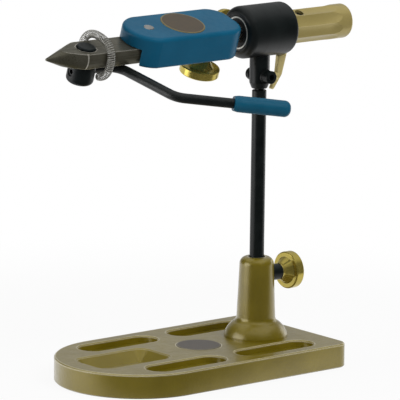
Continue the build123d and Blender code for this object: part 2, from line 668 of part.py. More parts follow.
# Bearing housing
with BuildPart() as housing:
    with BuildSketch(axial_plane.offset(HOUSING_FRONT_X)):
        Circle(housing_radius)
    extrude(amount=HOUSING_REAR_X - HOUSING_FRONT_X)
    fillet(housing.faces().sort_by(Axis.X)[0].edges(), HOUSING_FRONT_ROUNDING)
    fillet(housing.faces().sort_by(Axis.X)[-1].edges(), HOUSING_REAR_ROUNDING)
    with BuildSketch(axial_plane.offset(HOUSING_FRONT_X)):
        Circle(BEARING_OUTER_RADIUS - HOUSING_WAIST_STEP)
    extrude(amount=HOUSING_REAR_X - HOUSING_FRONT_X, mode=Mode.SUBTRACT)
    with BuildSketch(axial_plane.offset(HOUSING_FRONT_X)):
        Circle(BEARING_OUTER_RADIUS + HOUSING_MOUTH_STEP)
    extrude(amount=HOUSING_MOUTH_DEPTH, mode=Mode.SUBTRACT)
    front_edges = housing.edges().filter_by(GeomType.CIRCLE).group_by(Axis.X)[0]
    chamfer(front_edges.sort_by(SortBy.RADIUS)[0], HOUSING_MOUTH_BEVEL)
    with BuildSketch(axial_plane.offset(HOUSING_FRONT_X)):
        Circle(BEARING_OUTER_RADIUS + SEAT_CLEARANCE)
    extrude(amount=HOUSING_MOUTH_DEPTH + BEARING_WIDTH, mode=Mode.SUBTRACT)
    with BuildSketch(axial_plane.offset(rear_bearing_x)):
        Circle(BEARING_OUTER_RADIUS + SEAT_CLEARANCE)
    extrude(amount=BEARING_WIDTH + HOUSING_REAR_LIP, mode=Mode.SUBTRACT)
    with Locations((0, 0, tilt_z)):
        Cylinder(
            YOKE_SPIGOT_RADIUS + SEAT_CLEARANCE,
            yoke_spigot_top_z - tilt_z + SEAT_CLEARANCE,
            align=RISE,
            mode=Mode.SUBTRACT,
        )
    with BuildSketch(brake_plane):
        Circle(BRAKE_STUD_RADIUS + SLIDE_CLEARANCE)
    extrude(amount=housing_radius + CUT_MARGIN, mode=Mode.SUBTRACT)
    with BuildSketch(brake_plane.offset(brake_seat)):
        Circle(BRAKE_SPOTFACE_RADIUS)
    extrude(amount=housing_radius, mode=Mode.SUBTRACT)

# Ball bearings
bearing_centres = [start + BEARING_WIDTH / 2 for start in (front_bearing_x, rear_bearing_x)]

with BuildPart() as outer_races:
    for centre_x in bearing_centres:
        with BuildSketch(axial_plane.offset(centre_x)):
            Circle(BEARING_OUTER_RADIUS)
            Circle(bearing_outer_land_radius, mode=Mode.SUBTRACT)
        extrude(amount=BEARING_WIDTH / 2, both=True)
    chamfer(outer_races.edges().filter_by(GeomType.CIRCLE), BEARING_EDGE)
    for centre_x in bearing_centres:
        with Locations(axial_plane.offset(centre_x)):
            Torus(bearing_pitch_radius, bearing_ball_radius + BEARING_OUTER_GROOVE_GAP, mode=Mode.SUBTRACT)

with BuildPart() as bearing_seals:
    for start_x in (front_bearing_x, rear_bearing_x):
        for inset in (BEARING_SEAL_INSET, BEARING_WIDTH - BEARING_SEAL_INSET - BEARING_SEAL_THICKNESS):
            with BuildSketch(axial_plane.offset(start_x + inset)):
                Circle(bearing_outer_land_radius - SEAT_CLEARANCE)
                Circle(bearing_inner_land_radius + SLIDE_CLEARANCE, mode=Mode.SUBTRACT)
            extrude(amount=BEARING_SEAL_THICKNESS)

with BuildPart() as inner_races:
    for centre_x in bearing_centres:
        with BuildSketch(axial_plane.offset(centre_x)):
            Circle(bearing_inner_land_radius)
            Circle(STEM_RADIUS + SEAT_CLEARANCE, mode=Mode.SUBTRACT)
        extrude(amount=BEARING_WIDTH / 2, both=True)
        with Locations(axial_plane.offset(centre_x)):
            Torus(bearing_pitch_radius, bearing_ball_radius + BEARING_INNER_GROOVE_GAP, mode=Mode.SUBTRACT)

with BuildPart() as bearing_balls:
    for centre_x in bearing_centres:
        with Locations(axial_plane.offset(centre_x)):
            with PolarLocations(bearing_pitch_radius, BEARING_BALL_COUNT):
                Sphere(bearing_ball_radius)

# Rotary brake
with BuildPart(brake_plane) as brake_plug:
    with Locations((0, 0, STEM_RADIUS + SLIDE_CLEARANCE)):
        Cylinder(BRAKE_STUD_RADIUS, brake_plug_end - STEM_RADIUS - SLIDE_CLEARANCE, align=RISE)

with BuildPart(brake_plane) as brake_stud:
    with Locations((0, 0, brake_plug_end + SLIDE_CLEARANCE)):
        Cylinder(
            BRAKE_STUD_RADIUS,
            brake_seat + FACE_GAP + BRAKE_STUD_SPIGOT - brake_plug_end - SLIDE_CLEARANCE,
            align=RISE,
        )

brake_knob = thumb_knob(
    brake_plane.offset(brake_seat + FACE_GAP),
    BRAKE_KNOB_HUB_RADIUS,
    BRAKE_KNOB_NECK,
    BRAKE_KNOB_FLARE_RADIUS,
    BRAKE_KNOB_HUB_LENGTH,
    BRAKE_KNOB_RIM_RADIUS,
    BRAKE_KNOB_RIM_LENGTH,
    BRAKE_STUD_RADIUS + SEAT_CLEARANCE,
    BRAKE_STUD_SPIGOT + SEAT_CLEARANCE,
)

# Lock lever on the rear of the yoke
lock_foot_z = ROTARY_AXIS_Z - LOCK_FOOT_DROP
lock_bend_z = ROTARY_AXIS_Z - LOCK_BEND_DROP
lock_top_z = ROTARY_AXIS_Z - LOCK_TOP_DROP
lock_shoulder_z = ROTARY_AXIS_Z - housing_radius - LOCK_HOUSING_GAP
lock_back_x = HOUSING_REAR_X + LOCK_HOUSING_GAP

with BuildPart() as lock_lever:
    with BuildSketch(Plane.XZ):
        with BuildLine():
            Polyline(
                (LOCK_FOOT_X, lock_foot_z),
                (LOCK_BEND_X, lock_bend_z),
                (LOCK_SHOULDER_X, lock_shoulder_z),
                (lock_back_x, lock_shoulder_z),
                (lock_back_x, lock_top_z),
                (LOCK_TOP_X, lock_top_z),
                (LOCK_BEND_X + LOCK_BEND_WIDTH, lock_bend_z),
                (LOCK_FOOT_X + LOCK_FOOT_WIDTH, lock_foot_z),
                close=True,
            )
        make_face()
    extrude(amount=LOCK_THICKNESS / 2, both=True)
    fillet(lock_lever.edges().filter_by(Axis.Y), LOCK_CORNER_ROUNDING)
    chamfer(lock_lever.faces().filter_by(Axis.Y).edges(), LOCK_EDGE)
    with BuildSketch(lock_plane.offset(YOKE_RADIUS + FACE_GAP)):
        Circle(LOCK_HUB_RADIUS)
    extrude(amount=LOCK_HUB_END_X - YOKE_RADIUS - FACE_GAP)
    with BuildSketch(lock_plane):
        Circle(LOCK_STUD_RADIUS + SEAT_CLEARANCE)
    extrude(amount=LOCK_STUD_END_X + SEAT_CLEARANCE, mode=Mode.SUBTRACT)

with BuildPart(lock_plane) as lock_stud:
    with Locations((0, 0, TONGUE_RADIUS + FACE_GAP)):
        Cylinder(LOCK_STUD_RADIUS, LOCK_STUD_END_X - TONGUE_RADIUS - FACE_GAP, align=RISE)

# Rotary shaft and front spacer
with BuildPart() as rotary_shaft:
    with BuildSketch(axial_plane.offset(SHAFT_FRONT_X)):
        Circle(STEM_RADIUS)
    extrude(amount=SHAFT_REAR_X - SHAFT_FRONT_X)
    chamfer(rotary_shaft.edges().filter_by(GeomType.CIRCLE), STEM_TOP_BEVEL)

with BuildPart() as front_spacer:
    with BuildSketch(axial_plane.offset(SPACER_FRONT_X)):
        Circle(bearing_shoulder_radius)
        Circle(STEM_RADIUS + SEAT_CLEARANCE, mode=Mode.SUBTRACT)
    extrude(amount=front_bearing_x - SEAT_CLEARANCE - SPACER_FRONT_X)

# Handle and its set screw
scallop_step = 360 / HANDLE_SCALLOPS
screw_direction = user_direction(HANDLE_SCALLOP_ROLL + scallop_step)
handle_screw_plane = Plane(
    origin=Vector(HANDLE_SCREW_X, 0, ROTARY_AXIS_Z) + screw_direction * (STEM_RADIUS + SEAT_CLEARANCE),
    x_dir=(1, 0, 0),
    z_dir=screw_direction,
)
scallop_reach = HANDLE_RADIUS - HANDLE_SCALLOP_DEPTH + HANDLE_SCALLOP_RADIUS
with BuildPart() as handle:
    with BuildSketch(axial_plane.offset(HANDLE_FRONT_X)):
        Circle(HANDLE_RADIUS)
    extrude(amount=HANDLE_REAR_X - HANDLE_FRONT_X)
    fillet(handle.faces().sort_by(Axis.X)[0].edges(), HANDLE_FRONT_ROUNDING)
    fillet(handle.faces().sort_by(Axis.X)[-1].edges(), HANDLE_REAR_ROUNDING)
    for scallop in range(HANDLE_SCALLOPS):
        outward = user_direction(HANDLE_SCALLOP_ROLL + scallop * scallop_step)
        scallop_start = Vector(HANDLE_FRONT_X, 0, ROTARY_AXIS_Z) + outward * scallop_reach
        scallop_end = Vector(HANDLE_SCALLOP_END_X, 0, ROTARY_AXIS_Z) + outward * scallop_reach
        with BuildLine() as scallop_route:
            Line(scallop_start, scallop_end)
            runout_turn = math.radians(HANDLE_RUNOUT_ANGLE)
            runout = Vector(math.sin(runout_turn), 0, 0) + outward * (1 - math.cos(runout_turn))
            TangentArc(scallop_end, scallop_end + runout * HANDLE_RUNOUT_RADIUS, tangent=(1, 0, 0))
        with BuildSketch(Plane(origin=scallop_start, x_dir=outward, z_dir=(1, 0, 0))):
            Circle(HANDLE_SCALLOP_RADIUS)
        sweep(path=scallop_route.line, mode=Mode.SUBTRACT)
    with BuildSketch(axial_plane.offset(HOUSING_REAR_X - HOUSING_REAR_LIP + SEAT_CLEARANCE)):
        Circle(bearing_shoulder_radius)
    extrude(amount=HANDLE_FRONT_X - HOUSING_REAR_X + HOUSING_REAR_LIP - SEAT_CLEARANCE)
    with BuildSketch(axial_plane):
        Circle(STEM_RADIUS + SEAT_CLEARANCE)
    extrude(amount=SHAFT_REAR_X + SEAT_CLEARANCE, mode=Mode.SUBTRACT)
    with BuildSketch(handle_screw_plane):
        Circle(HANDLE_SCREW_RADIUS + SEAT_CLEARANCE)
    extrude(amount=HANDLE_RADIUS, mode=Mode.SUBTRACT)

handle_screw = set_screw(handle_screw_plane, HANDLE_SCREW_RADIUS, HANDLE_SCREW_LENGTH)

# Head body
head_axis = Axis(head_plane.origin, head_plane.z_dir)
with BuildPart() as head_body:
    with BuildSketch(head_plane.offset(HEAD_BOTTOM)):
        with Locations((HEAD_FRONT_CENTRE_X, 0)):
            Circle(HEAD_NOSE_RADIUS)
        with Locations((HEAD_REAR_X, 0)):
            Rectangle(HEAD_REAR_X - HEAD_FRONT_CENTRE_X, 2 * HEAD_HALF_WIDTH, align=(Align.MAX, Align.CENTER))
            Rectangle(
                HEAD_REAR_X - HEAD_FRONT_CENTRE_X + HEAD_NOSE_RADIUS,
                2 * HEAD_HALF_WIDTH,
                align=(Align.MAX, Align.CENTER),
                mode=Mode.INTERSECT,
            )
    extrude(amount=HEAD_TOP - HEAD_BOTTOM)
    fillet(head_body.edges().filter_by(head_axis).group_by(Axis.X)[-1], HEAD_REAR_CORNER)
    fillet(head_body.faces().sort_by(head_axis)[-1].edges(), HEAD_TOP_ROUNDING)
    fillet(head_body.faces().sort_by(head_axis)[0].edges(), HEAD_BOTTOM_ROUNDING)
    with BuildSketch(head_plane.offset(jaw_top + JAW_SLOT_ROOF_GAP)):
        with Locations((JAW_SLOT_REAR_X, 0)):
            Rectangle(
                JAW_SLOT_REAR_X - HEAD_FRONT_CENTRE_X + HEAD_NOSE_RADIUS + CUT_MARGIN,
                2 * JAW_SLOT_HALF_WIDTH,
                align=(Align.MAX, Align.CENTER),
            )
    extrude(amount=HEAD_BOTTOM - jaw_top - JAW_SLOT_ROOF_GAP, mode=Mode.SUBTRACT)
    with BuildSketch(axial_plane.offset(SHAFT_BORE_END_X)):
        Circle(STEM_RADIUS + SEAT_CLEARANCE)
    extrude(amount=-SHAFT_BORE_END_X, mode=Mode.SUBTRACT)
    with BuildSketch(head_plane):
        with Locations((JAW_PIN_X, 0)):
            Circle(JAW_PIN_RADIUS + SEAT_CLEARANCE)
    extrude(amount=HEAD_TOP, mode=Mode.SUBTRACT)
    with BuildSketch(head_plane):
        with Locations((HEAD_SCREW_X, 0)):
            Circle(HEAD_SCREW_RADIUS + SLIDE_CLEARANCE)
    extrude(amount=HEAD_BOTTOM, mode=Mode.SUBTRACT)
    with BuildSketch(head_plane.offset(HEAD_TOP)):
        with Locations((HEAD_DISC_X, 0)):
            Circle(DISC_RADIUS + SLIDE_CLEARANCE)
    extrude(amount=-DISC_RECESS, mode=Mode.SUBTRACT)

head_disc = disc_inlay(
    Plane(origin=head_point(HEAD_DISC_X, 0, HEAD_TOP - DISC_RECESS), x_dir=(1, 0, 0), z_dir=head_plane.z_dir)
)

# Head clamp screw
head_knob_plane = Plane(
    origin=head_point(HEAD_SCREW_X, 0, HEAD_KNOB_TOP),
    x_dir=(1, 0, 0),
    z_dir=-head_plane.z_dir,
)
with BuildPart(head_knob_plane.offset(HEAD_KNOB_TOP + STEM_RADIUS + SLIDE_CLEARANCE)) as head_stud:
    Cylinder(
        HEAD_SCREW_RADIUS,
        HEAD_SCREW_SPIGOT - HEAD_KNOB_TOP - STEM_RADIUS - SLIDE_CLEARANCE,
        align=RISE,
    )

head_knob = thumb_knob(
    head_knob_plane,
    HEAD_KNOB_HUB_RADIUS,
    HEAD_KNOB_NECK,
    HEAD_KNOB_FLARE_RADIUS,
    HEAD_KNOB_HUB_LENGTH,
    HEAD_KNOB_RIM_RADIUS,
    HEAD_KNOB_RIM_LENGTH,
    HEAD_SCREW_RADIUS + SEAT_CLEARANCE,
    HEAD_SCREW_SPIGOT + SEAT_CLEARANCE,
)

# Jaw pin
jaw_pin_plane = Plane(
    origin=head_point(JAW_PIN_X, 0, JAW_PIN_FLANGE_TOP),
    x_dir=(1, 0, 0),
    z_dir=head_plane.z_dir,
)
with BuildPart(jaw_pin_plane) as jaw_pin:
    Cylinder(JAW_PIN_RADIUS, HEAD_TOP + JAW_PIN_PROUD - JAW_PIN_FLANGE_TOP, align=RISE)
    with Locations((0, 0, -JAW_PIN_FLANGE_HEIGHT)):
        Cylinder(JAW_PIN_FLANGE_RADIUS, JAW_PIN_FLANGE_HEIGHT, align=RISE)
    jaw_pin_faces = jaw_pin.faces().sort_by(Axis(jaw_pin_plane.origin, jaw_pin_plane.z_dir))
    chamfer(jaw_pin_faces[-1].edges(), JAW_PIN_EDGE)


def jaw_half(side):
    """One of the two jaws: a cone and a flattened round bar, split along the middle."""
    jaw_origin = head_point(0, 0, JAW_AXIS_HEIGHT)
    seat_plane = Plane(
        origin=head_point(JAW_SPRING_X, 0, JAW_AXIS_HEIGHT),
        x_dir=(1, 0, 0),
        z_dir=head_direction(0, side, 0),
    )
    with BuildPart() as half:
        with BuildSketch(Plane(origin=jaw_origin, x_dir=(1, 0, 0), z_dir=(0, -1, 0))):
            with BuildLine():
                Polyline(
                    (JAW_TIP_X, 0),
                    (JAW_TIP_X, JAW_TIP_RADIUS),
                    (JAW_CONE_END_X, JAW_RADIUS),
                    (JAW_TAIL_X, JAW_RADIUS),
                    (JAW_TAIL_X, 0),
                    close=True,
                )
            make_face()
        revolve(axis=Axis(jaw_origin, (1, 0, 0)))
        with BuildSketch(head_plane.offset(jaw_bottom)):
            with Locations((JAW_TAIL_X, side * (JAW_FACE_GAP + JAW_RADIUS / 2))):
                Rectangle(JAW_TAIL_X - JAW_TIP_X, JAW_RADIUS, align=(Align.MAX, Align.CENTER))
        extrude(amount=2 * JAW_HALF_HEIGHT, mode=Mode.INTERSECT)
        with BuildSketch(head_plane.offset(jaw_bottom)):
            with Locations((JAW_PIN_X, 0)):
                Circle(JAW_PIN_RADIUS + SLIDE_CLEARANCE)
                Rectangle(JAW_TAIL_X - JAW_PIN_X, 2 * JAW_TAIL_RELIEF, align=(Align.MIN, Align.CENTER))
            with Locations((CAM_X, 0)):
                Rectangle(2 * CAM_SLOT_HALF_LENGTH, 2 * CAM_SLOT_HALF_WIDTH)
        extrude(amount=2 * JAW_HALF_HEIGHT, mode=Mode.SUBTRACT)
        with BuildSketch(head_plane.offset(CAM_FLAT_TOP)):
            with Locations((CAM_X, 0)):
                Circle(CAM_BUTTON_RADIUS + CAM_BUTTON_GAP)
        extrude(amount=jaw_top - CAM_FLAT_TOP, mode=Mode.SUBTRACT)
        with BuildSketch(seat_plane):
            Circle(JAW_SPRING_SEAT_RADIUS)
        extrude(amount=JAW_SPRING_SEAT_DEPTH, mode=Mode.SUBTRACT)
    return half.part


near_jaw = jaw_half(-1)
far_jaw = jaw_half(1)

# Wound springs
jaw_spring = wound_wire(jaw_spring_curve, JAW_SPRING_TURNS, JAW_SPRING_WIRE)
material_spring = wound_wire(ring_curve, RING_TURNS, RING_WIRE)
print("jaw spring least gap", round(least_gap(jaw_spring_curve, JAW_SPRING_TURNS, JAW_SPRING_WIRE), 3))
print("material spring least gap", round(least_gap(ring_curve, RING_TURNS, RING_WIRE), 3))

# Cam between the jaws
cam_plane = Plane(origin=head_point(CAM_X, 0, 0), x_dir=(1, 0, 0), z_dir=head_plane.z_dir)
cam_axis = Axis(cam_plane.origin, cam_plane.z_dir)
with BuildPart() as cam:
    with BuildSketch(cam_plane.offset(HUB_TOP)):
        Circle(CAM_RADIUS)
        Rectangle(2 * CAM_RADIUS, 2 * CAM_FLAT, mode=Mode.INTERSECT)
    extrude(amount=CAM_FLAT_TOP - HUB_TOP)
    with BuildSketch(cam_plane.offset(CAM_FLAT_TOP)):
        Circle(CAM_BUTTON_RADIUS)
    extrude(amount=CAM_TOP - CAM_FLAT_TOP)
    fillet(cam.faces().sort_by(cam_axis)[-1].edges(), CAM_BUTTON_ROUNDING)
    with BuildSketch(cam_plane.offset(CAM_SPIGOT_END)):
        Circle(CAM_SPIGOT_RADIUS)
    extrude(amount=HUB_TOP - CAM_SPIGOT_END)

# Cam hub and its set screw
lever_root_plane = Plane(
    origin=head_point(CAM_X + HUB_RADIUS - LEVER_ROOT_INSET, 0, LEVER_HEIGHT),
    x_dir=(0, roll_cos, roll_sin),
    z_dir=(1, 0, 0),
)
hub_screw_plane = Plane(
    origin=head_point(CAM_X - CAM_SPIGOT_RADIUS - SEAT_CLEARANCE, 0, HUB_SCREW_HEIGHT),
    x_dir=(0, roll_cos, roll_sin),
    z_dir=(-1, 0, 0),
)
with BuildPart() as cam_hub:
    with BuildSketch(cam_plane.offset(HUB_BOTTOM)):
        Circle(HUB_RADIUS)
    extrude(amount=HUB_TOP - HUB_BOTTOM)
    fillet(cam_hub.faces().sort_by(cam_axis)[0].edges(), HUB_ROUNDING)
    fillet(cam_hub.faces().sort_by(cam_axis)[-1].edges(), HUB_TOP_ROUNDING)
    with BuildSketch(cam_plane.offset(CAM_SPIGOT_END)):
        Circle(CAM_SPIGOT_RADIUS + SEAT_CLEARANCE)
    extrude(amount=HUB_TOP - CAM_SPIGOT_END, mode=Mode.SUBTRACT)
    with BuildSketch(lever_root_plane):
        Circle(LEVER_RADIUS + SEAT_CLEARANCE)
    extrude(amount=HUB_RADIUS, mode=Mode.SUBTRACT)
    with BuildSketch(hub_screw_plane):
        Circle(HUB_SCREW_RADIUS + SEAT_CLEARANCE)
    extrude(amount=HUB_RADIUS, mode=Mode.SUBTRACT)

hub_screw = set_screw(
    hub_screw_plane,
    HUB_SCREW_RADIUS,
    HUB_RADIUS - HUB_SCREW_SINK - CAM_SPIGOT_RADIUS - SEAT_CLEARANCE,
)

# Lever rod and grip
grip_end = head_point(LEVER_END_X, LEVER_END_Y, LEVER_HEIGHT)
lever_knee = head_point(LEVER_KNEE_X, LEVER_KNEE_Y, LEVER_HEIGHT)
grip_direction = (grip_end - lever_knee).normalized()
rod_end = grip_end - grip_direction * GRIP_ROD_STOP
grip_start = grip_end - grip_direction * GRIP_LENGTH
grip_plane = Plane(origin=grip_start, x_dir=head_plane.z_dir, z_dir=grip_direction)
grip_axis = Axis(grip_plane.origin, grip_plane.z_dir)

with BuildPart() as lever_rod:
    with BuildLine() as rod_route:
        FilletPolyline(
            lever_root_plane.origin,
            head_point(LEVER_BEND_X, 0, LEVER_HEIGHT),
            lever_knee,
            rod_end,
            radius=LEVER_BEND_RADIUS,
        )
    with BuildSketch(lever_root_plane):
        Circle(LEVER_RADIUS)
    sweep(path=rod_route.line)

with BuildPart() as lever_grip:
    with BuildSketch(spin_plane(grip_plane)):
        with BuildLine():
            Polyline(
                (0, 0),
                (GRIP_MOUTH_RADIUS, 0),
                (GRIP_RADIUS, GRIP_MOUTH_LENGTH),
                (GRIP_RADIUS, GRIP_LENGTH),
                (0, GRIP_LENGTH),
                close=True,
            )
        make_face()
    revolve(axis=grip_axis)
    fillet(lever_grip.faces().sort_by(grip_axis)[-1].edges(), GRIP_END_ROUNDING)
    with BuildSketch(grip_plane):
        Circle(LEVER_RADIUS + SEAT_CLEARANCE)
    extrude(amount=GRIP_LENGTH - GRIP_ROD_STOP + SEAT_CLEARANCE, mode=Mode.SUBTRACT)

# Files, one for each named piece
pieces = {
    "base_plate": base_plate.part,
    "base_disc": base_disc,
    "stem_post": stem_post.part,
    "post_screws": post_screws.part,
    "stem_clamp_stud": clamp_stud.part,
    "stem_clamp_knob": clamp_knob,
    "stem": stem.part,
    "bearing_housing": housing.part,
    "yoke": yoke.part,
    "tilt_bolt": tilt_bolt.part,
    "tilt_washers": tilt_washers.part,
    "tilt_nut": tilt_nut.part,
    "outer_races": outer_races.part,
    "bearing_seals": bearing_seals.part,
    "brake_plug": brake_plug.part,
    "brake_stud": brake_stud.part,
    "brake_knob": brake_knob,
    "lock_lever": lock_lever.part,
    "lock_stud": lock_stud.part,
    "rotary_shaft": rotary_shaft.part,
    "inner_races": inner_races.part,
    "bearing_balls": bearing_balls.part,
    "front_spacer": front_spacer.part,
    "handle": handle.part,
    "handle_screw": handle_screw,
    "head_body": head_body.part,
    "head_disc": head_disc,
    "head_clamp_stud": head_stud.part,
    "head_clamp_knob": head_knob,
    "jaw_pin": jaw_pin.part,
    "near_jaw": near_jaw,
    "far_jaw": far_jaw,
    "jaw_spring": jaw_spring,
    "material_spring": material_spring,
    "cam": cam.part,
    "cam_hub": cam_hub.part,
    "hub_screw": hub_screw,
    "lever_rod": lever_rod.part,
    "lever_grip": lever_grip.part,
}
for piece_name, piece in pieces.items():
    piece.label = piece_name
    export_step(piece, f"parts/{piece_name}.step")
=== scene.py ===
# Looks of the fly tying vise: finishes, wound material spring, studio and camera
import math

import bpy
from mathutils import Matrix, Vector


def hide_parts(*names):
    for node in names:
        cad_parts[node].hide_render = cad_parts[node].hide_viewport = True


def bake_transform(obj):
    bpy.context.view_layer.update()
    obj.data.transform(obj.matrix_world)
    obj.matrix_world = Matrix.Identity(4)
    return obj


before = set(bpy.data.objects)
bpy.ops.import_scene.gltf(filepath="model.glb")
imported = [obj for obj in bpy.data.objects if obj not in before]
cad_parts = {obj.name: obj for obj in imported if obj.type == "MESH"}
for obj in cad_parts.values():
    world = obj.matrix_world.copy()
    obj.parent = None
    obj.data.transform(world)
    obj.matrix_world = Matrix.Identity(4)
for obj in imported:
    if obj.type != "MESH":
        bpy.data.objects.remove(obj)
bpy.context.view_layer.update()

# Rolled head, in metres and degrees
ROTARY_AXIS_Z = 0.21915
HEAD_ROLL = 17.5

# Wound material spring
RING_X = -0.1343
RING_CENTRE_HEIGHT = -0.0041
RING_YAW = 5.0
RING_ACROSS = 0.0138
RING_UP = 0.01295
RING_SQUARENESS = 2.4
RING_COIL_RADIUS = 0.0024
RING_WIRE = 0.0003
RING_TURNS = 54
RING_NEAR_END_ANGLE = 25.0
RING_FAR_END_ANGLE = 45.0
RING_CLOSING_TURNS = 2
RING_CLOSED_RADIUS = 0.0005
RING_STEPS_PER_TURN = 18
RING_WIRE_SIDES = 8
RING_PARTING_TURN = 29

# Jaw edges paled as wear and as a painted highlight, kept off the split, and a painted highlight line at the
# cone's crease
JAW_SPLIT_START = 0.0006
JAW_SPLIT_END = 0.0014
JAW_CREASE_X = -0.1487
JAW_CREASE_HIGHLIGHT_START = 0.0002
JAW_CREASE_HIGHLIGHT_END = 0.0006
JAW_SIDE_START = 0.0082
JAW_SIDE_END = 0.0088

# Heights over which the rubbed edges of the base and of the post, paled as wear and as a painted highlight,
# begin
BASE_RUBBED_HIGHLIGHT_FROM = 0.0135
BASE_RUBBED_HIGHLIGHT_ABOVE = 0.0145
POST_RUBBED_HIGHLIGHT_FROM = 0.03
POST_RUBBED_HIGHLIGHT_ABOVE = 0.035

# Round inlays
BASE_DISC_CENTRE = (-0.0484, 0.0, 0.0162)
HEAD_DISC_X = -0.0678
HEAD_DISC_HEIGHT = 0.0119
DISC_RADIUS = 0.0147
DISC_RIM = 0.0011
DISC_RIM_BLEND = 0.00022
DISC_DULL_SHARE = 0.75

# Painted highlight ring on the bearing race faces, which are darkened as painted shade
RACE_HIGHLIGHT_INSIDE = 0.0099
RACE_HIGHLIGHT_OUTSIDE = 0.0105
RACE_BLEND = 0.0003

# Camera
CAMERA_AZIMUTH = -39.47
CAMERA_ELEVATION = 11.26
CAMERA_ROLL = 0.73
CAMERA_DISTANCE = 2.9429
CAMERA_AIM = (-0.0307, 0.0220, 0.1066)
CAMERA_LENS = 405.0
CAMERA_SENSOR = 36.0

# Studio
FLOOR_SIZE = 40.0
FLOOR_COLOUR = (0.65, 0.65, 0.65, 1.0)
FLOOR_WHITE_START = 0.22
FLOOR_WHITE_END = 0.45
FLOOR_LEAST_WHITE = 0.92
SWEEP_FRONT_AZIMUTH = -20.0
SWEEP_FRONT_START = 0.055
SWEEP_FRONT_END = 0.11
SWEEP_FRONT_LEVEL = 0.05
STUDIO_CENTRE = (-0.05, 0.0, 0.12)
WORLD_DIFFUSE = 0.35
WORLD_WHITE = 1.0
WORLD_HORIZON = 0.04
WORLD_ZENITH = 0.6
WORLD_FADE_START = 0.5
WORLD_FADE_END = 0.9

# Studio panels that metal reflects: azimuth, elevation, inner and outer angle, level
PANELS = (
    (95.0, 40.0, 15.0, 40.0, 0.12),
    (145.0, 8.0, 20.0, 50.0, 0.34),
)

# Studio lamps: name, azimuth, elevation, distance, width, height, power, seen in reflections
LAMPS = (
    ("left_panel", -110.0, 6.0, 0.6, 0.5, 0.45, 1.5, True),
    ("right_panel", 95.0, 2.0, 0.7, 0.3, 0.28, 0.3, True),
    ("front_fill", 10.0, 45.0, 1.5, 1.0, 1.0, 15.0, False),
    ("top_fill", 150.0, 65.0, 1.5, 1.0, 1.0, 5.0, False),
)

# Socket places of the colour mix node, whose socket names repeat
MIX_FACTOR = 0
MIX_FIRST_COLOUR = 6
MIX_SECOND_COLOUR = 7
MIX_COLOUR_RESULT = 2

head_up = Vector((0, -math.sin(math.radians(HEAD_ROLL)), math.cos(math.radians(HEAD_ROLL))))
head_across = Vector((0, math.cos(math.radians(HEAD_ROLL)), math.sin(math.radians(HEAD_ROLL))))


def towards(azimuth, elevation):
    """Way that points from the object at an azimuth, 0 to the user and rising to +X, and an elevation."""
    turn, rise = math.radians(azimuth), math.radians(elevation)
    return Vector((math.sin(turn) * math.cos(rise), -math.cos(turn) * math.cos(rise), math.sin(rise)))


def head_point(along, across, above):
    """Point given along, across and above the rolled head."""
    return Vector((along, 0, ROTARY_AXIS_Z)) + head_across * across + head_up * above


